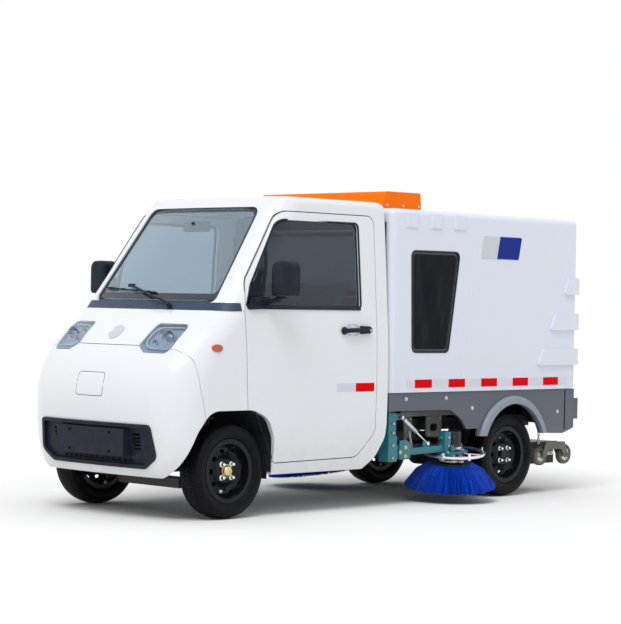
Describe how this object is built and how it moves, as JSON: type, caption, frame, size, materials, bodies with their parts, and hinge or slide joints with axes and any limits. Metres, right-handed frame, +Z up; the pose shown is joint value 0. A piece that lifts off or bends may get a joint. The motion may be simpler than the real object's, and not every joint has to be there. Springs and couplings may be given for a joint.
{
  "type": "street sweeper truck",
  "caption": "Small electric street sweeper truck: cab with opening doors, box body with top-hinged rear door, canted side brushes on swing arms, lifting suction nozzle on casters.",
  "frame": {"origin": "on the ground, midway along the overall length and on the centre plane", "axes": "-Y to the front of the truck, +X to the driver's left, +Z up"},
  "size_m": [1.6706, 3.5058, 1.8018],
  "materials": {
    "white_paint": "gloss white paint",
    "grey_paint": "satin dark grey paint",
    "orange_paint": "gloss orange paint",
    "teal_paint": "gloss teal paint",
    "frame_paint": "satin black chassis paint",
    "axle_iron": "dull black iron",
    "rim_paint": "gloss black",
    "tyre": "worn black rubber",
    "clear_glass": "clear tinted glass",
    "dark_glass": "dark privacy glass",
    "lens": "smoked lamp lens",
    "amber_lens": "amber lens",
    "red_lens": "red lens",
    "black_plastic": "grained black plastic",
    "dash_plastic": "grained dark grey plastic",
    "seat_cloth": "dark woven seat cloth",
    "bristle": "blue polypropylene bristle",
    "caster_rubber": "black rubber",
    "nozzle_paint": "khaki grey paint",
    "battery_case": "dark grey case",
    "bright_steel": "zinc plated and brushed steel",
    "chrome_plate": "polished chrome",
    "brass_cap": "satin brass",
    "red_tape": "red reflective tape",
    "white_tape": "white reflective tape",
    "blue_plate": "plain blue plate",
    "black_rubber": "black rubber seal",
    "mirror_face": "mirror glass"
  },
  "bodies": {
    "vehicle": {"chassis_frame": "frame_paint", "front_frame": "frame_paint", "cab_shell": "white_paint", "nose_cover": "white_paint", "cab_cowl": "black_plastic", "front_grille": "black_plastic", "headlamps": "lens", "side_repeaters": "amber_lens", "cab_glass": "clear_glass", "arch_liners": "black_plastic", "seat_plinths": "dash_plastic", "seat_cushions": "seat_cloth", "seat_backs": "seat_cloth", "dashboard": "dash_plastic", "box_body": "white_paint", "box_windows": "dark_glass", "box_skirts": "grey_paint", "rear_bumper": "grey_paint", "tail_lamps": "red_lens", "roof_fairing": "orange_paint", "battery_pack": "battery_case", "box_bearers": "frame_paint", "brush_brackets": "teal_paint", "front_suspension": "axle_iron", "rear_suspension": "axle_iron", "suction_duct": "frame_paint"},
    "door_left": {"door_left": "white_paint", "door_glass_left": "clear_glass", "door_fittings_left": "black_plastic"},
    "knuckle_left": {"knuckle_left": "axle_iron"},
    "wheel_front_left": {"tyre_front_left": "tyre", "rim_front_left": "rim_paint"},
    "wheel_rear_left": {"tyre_rear_left": "tyre", "rim_rear_left": "rim_paint"},
    "brush_post_left": {"brush_post_left": "teal_paint"},
    "brush_arm_left": {"brush_arm_left": "teal_paint"},
    "brush_rotor_left": {"brush_rotor_left": "bristle"},
    "door_right": {"door_right": "white_paint", "door_glass_right": "clear_glass", "door_fittings_right": "black_plastic"},
    "knuckle_right": {"knuckle_right": "axle_iron"},
    "wheel_front_right": {"tyre_front_right": "tyre", "rim_front_right": "rim_paint"},
    "wheel_rear_right": {"tyre_rear_right": "tyre", "rim_rear_right": "rim_paint"},
    "brush_post_right": {"brush_post_right": "teal_paint"},
    "brush_arm_right": {"brush_arm_right": "teal_paint"},
    "brush_rotor_right": {"brush_rotor_right": "bristle"},
    "rear_door": {"rear_door": "white_paint"},
    "steering_wheel": {"steering_wheel": "black_plastic"},
    "suction_nozzle": {"suction_nozzle": "nozzle_paint"},
    "caster_front_left": {"caster_front_left": "caster_rubber"},
    "caster_front_right": {"caster_front_right": "caster_rubber"},
    "caster_rear_left": {"caster_rear_left": "caster_rubber"},
    "caster_rear_right": {"caster_rear_right": "caster_rubber"}
  },
  "joints": [
    {"name": "door_left_hinge", "type": "hinge", "parent": "vehicle", "child": "door_left", "pos_m": [0.63, -1.2015, 0.8], "axis": [0, 0, -1], "range_deg": [0, 65]},
    {"name": "steer_left", "type": "hinge", "parent": "vehicle", "child": "knuckle_left", "pos_m": [0.455, -1.2575, 0.254], "axis": [0, 0, 1], "range_deg": [-30, 30]},
    {"name": "wheel_front_left_spin", "type": "hinge", "parent": "knuckle_left", "child": "wheel_front_left", "pos_m": [0.51, -1.2575, 0.254], "axis": [1, 0, 0], "continuous": true},
    {"name": "wheel_rear_left_spin", "type": "hinge", "parent": "vehicle", "child": "wheel_rear_left", "pos_m": [0.51, 1.0775, 0.254], "axis": [1, 0, 0], "continuous": true},
    {"name": "brush_left_swing", "type": "hinge", "parent": "vehicle", "child": "brush_post_left", "pos_m": [0.55, 0.0175, 0.4], "axis": [0, 0, -1], "range_deg": [-15, 8]},
    {"name": "brush_left_lift", "type": "hinge", "parent": "brush_post_left", "child": "brush_arm_left", "pos_m": [0.55, 0.1145, 0.3], "axis": [1, 0, 0], "range_deg": [-8, 2]},
    {"name": "brush_left_spin", "type": "hinge", "parent": "brush_arm_left", "child": "brush_rotor_left", "pos_m": [0.58, 0.5425, 0.226], "axis": [0.0841, -0.0877, 0.9926], "continuous": true},
    {"name": "door_right_hinge", "type": "hinge", "parent": "vehicle", "child": "door_right", "pos_m": [-0.63, -1.2015, 0.8], "axis": [0, 0, 1], "range_deg": [0, 65]},
    {"name": "steer_right", "type": "hinge", "parent": "vehicle", "child": "knuckle_right", "pos_m": [-0.455, -1.2575, 0.254], "axis": [0, 0, 1], "range_deg": [-30, 30]},
    {"name": "wheel_front_right_spin", "type": "hinge", "parent": "knuckle_right", "child": "wheel_front_right", "pos_m": [-0.51, -1.2575, 0.254], "axis": [1, 0, 0], "continuous": true},
    {"name": "wheel_rear_right_spin", "type": "hinge", "parent": "vehicle", "child": "wheel_rear_right", "pos_m": [-0.51, 1.0775, 0.254], "axis": [1, 0, 0], "continuous": true},
    {"name": "brush_right_swing", "type": "hinge", "parent": "vehicle", "child": "brush_post_right", "pos_m": [-0.55, 0.0175, 0.4], "axis": [0, 0, 1], "range_deg": [-15, 8]},
    {"name": "brush_right_lift", "type": "hinge", "parent": "brush_post_right", "child": "brush_arm_right", "pos_m": [-0.55, 0.1145, 0.3], "axis": [1, 0, 0], "range_deg": [-8, 2]},
    {"name": "brush_right_spin", "type": "hinge", "parent": "brush_arm_right", "child": "brush_rotor_right", "pos_m": [-0.58, 0.5425, 0.226], "axis": [-0.0841, -0.0877, 0.9926], "continuous": true},
    {"name": "rear_door_hinge", "type": "hinge", "parent": "vehicle", "child": "rear_door", "pos_m": [0, 1.6935, 1.664], "axis": [1, 0, 0], "range_deg": [0, 85]},
    {"name": "steering_wheel_turn", "type": "hinge", "parent": "vehicle", "child": "steering_wheel", "pos_m": [0.265, -0.9275, 0.985], "axis": [0, 0.848, 0.5299], "range_deg": [-450, 450]},
    {"name": "suction_nozzle_lift", "type": "slide", "parent": "vehicle", "child": "suction_nozzle", "axis": [0, 0, 1], "range_m": [-0.165, 0]},
    {"name": "caster_front_left_spin", "type": "hinge", "parent": "suction_nozzle", "child": "caster_front_left", "pos_m": [0.54, 1.4425, 0.232], "axis": [1, 0, 0], "continuous": true},
    {"name": "caster_front_right_spin", "type": "hinge", "parent": "suction_nozzle", "child": "caster_front_right", "pos_m": [-0.54, 1.4425, 0.232], "axis": [1, 0, 0], "continuous": true},
    {"name": "caster_rear_left_spin", "type": "hinge", "parent": "suction_nozzle", "child": "caster_rear_left", "pos_m": [0.54, 1.6865, 0.232], "axis": [1, 0, 0], "continuous": true},
    {"name": "caster_rear_right_spin", "type": "hinge", "parent": "suction_nozzle", "child": "caster_rear_right", "pos_m": [-0.54, 1.6865, 0.232], "axis": [1, 0, 0], "continuous": true}
  ],
  "couplings": [
    {"joint": "steer_right", "follows": "steer_left", "ratio": 1},
    {"joint": "steering_wheel_turn", "follows": "steer_left", "ratio": 15}
  ]
}
